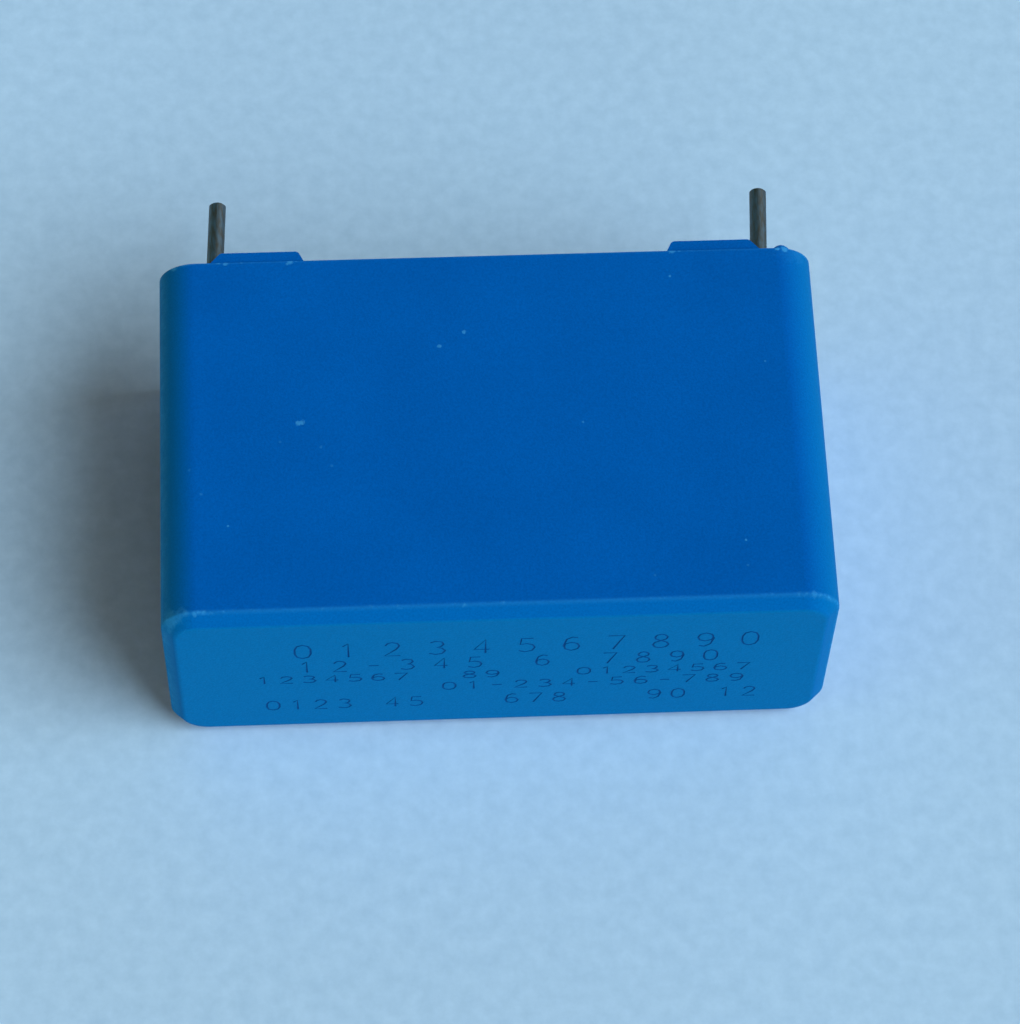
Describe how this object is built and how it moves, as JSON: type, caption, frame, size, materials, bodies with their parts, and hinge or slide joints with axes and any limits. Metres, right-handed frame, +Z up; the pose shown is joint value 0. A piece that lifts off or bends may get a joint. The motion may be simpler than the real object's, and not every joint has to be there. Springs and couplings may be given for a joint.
{
  "type": "film capacitor",
  "caption": "Box-shaped film capacitor: a flat film winding potted in a moulded case with stand-off feet, and straight wire leads on one side.",
  "frame": {"origin": "middle of the whole part's footprint, on the surface it lies on", "axes": "+X along the case's length, from the left lead to the right; +Y from the closed face to the leads; +Z up, square to the large side it lies on"},
  "size_m": [0.0262, 0.0218, 0.0102],
  "materials": {
    "case_plastic": "moulded, fine matte grain, blue",
    "potting_epoxy": "poured, mineral filled, satin",
    "metallised_film": "metallised film, wound",
    "sprayed_zinc": "flame sprayed, rough",
    "tinned_wire": "tinned, dull"
  },
  "bodies": {
    "root": {"case": "case_plastic", "potting_resin": "potting_epoxy", "film_winding": "metallised_film", "sprayed_contact_left": "sprayed_zinc", "sprayed_contact_right": "sprayed_zinc", "lead_left": "tinned_wire", "lead_right": "tinned_wire"}
  },
  "joints": []
}
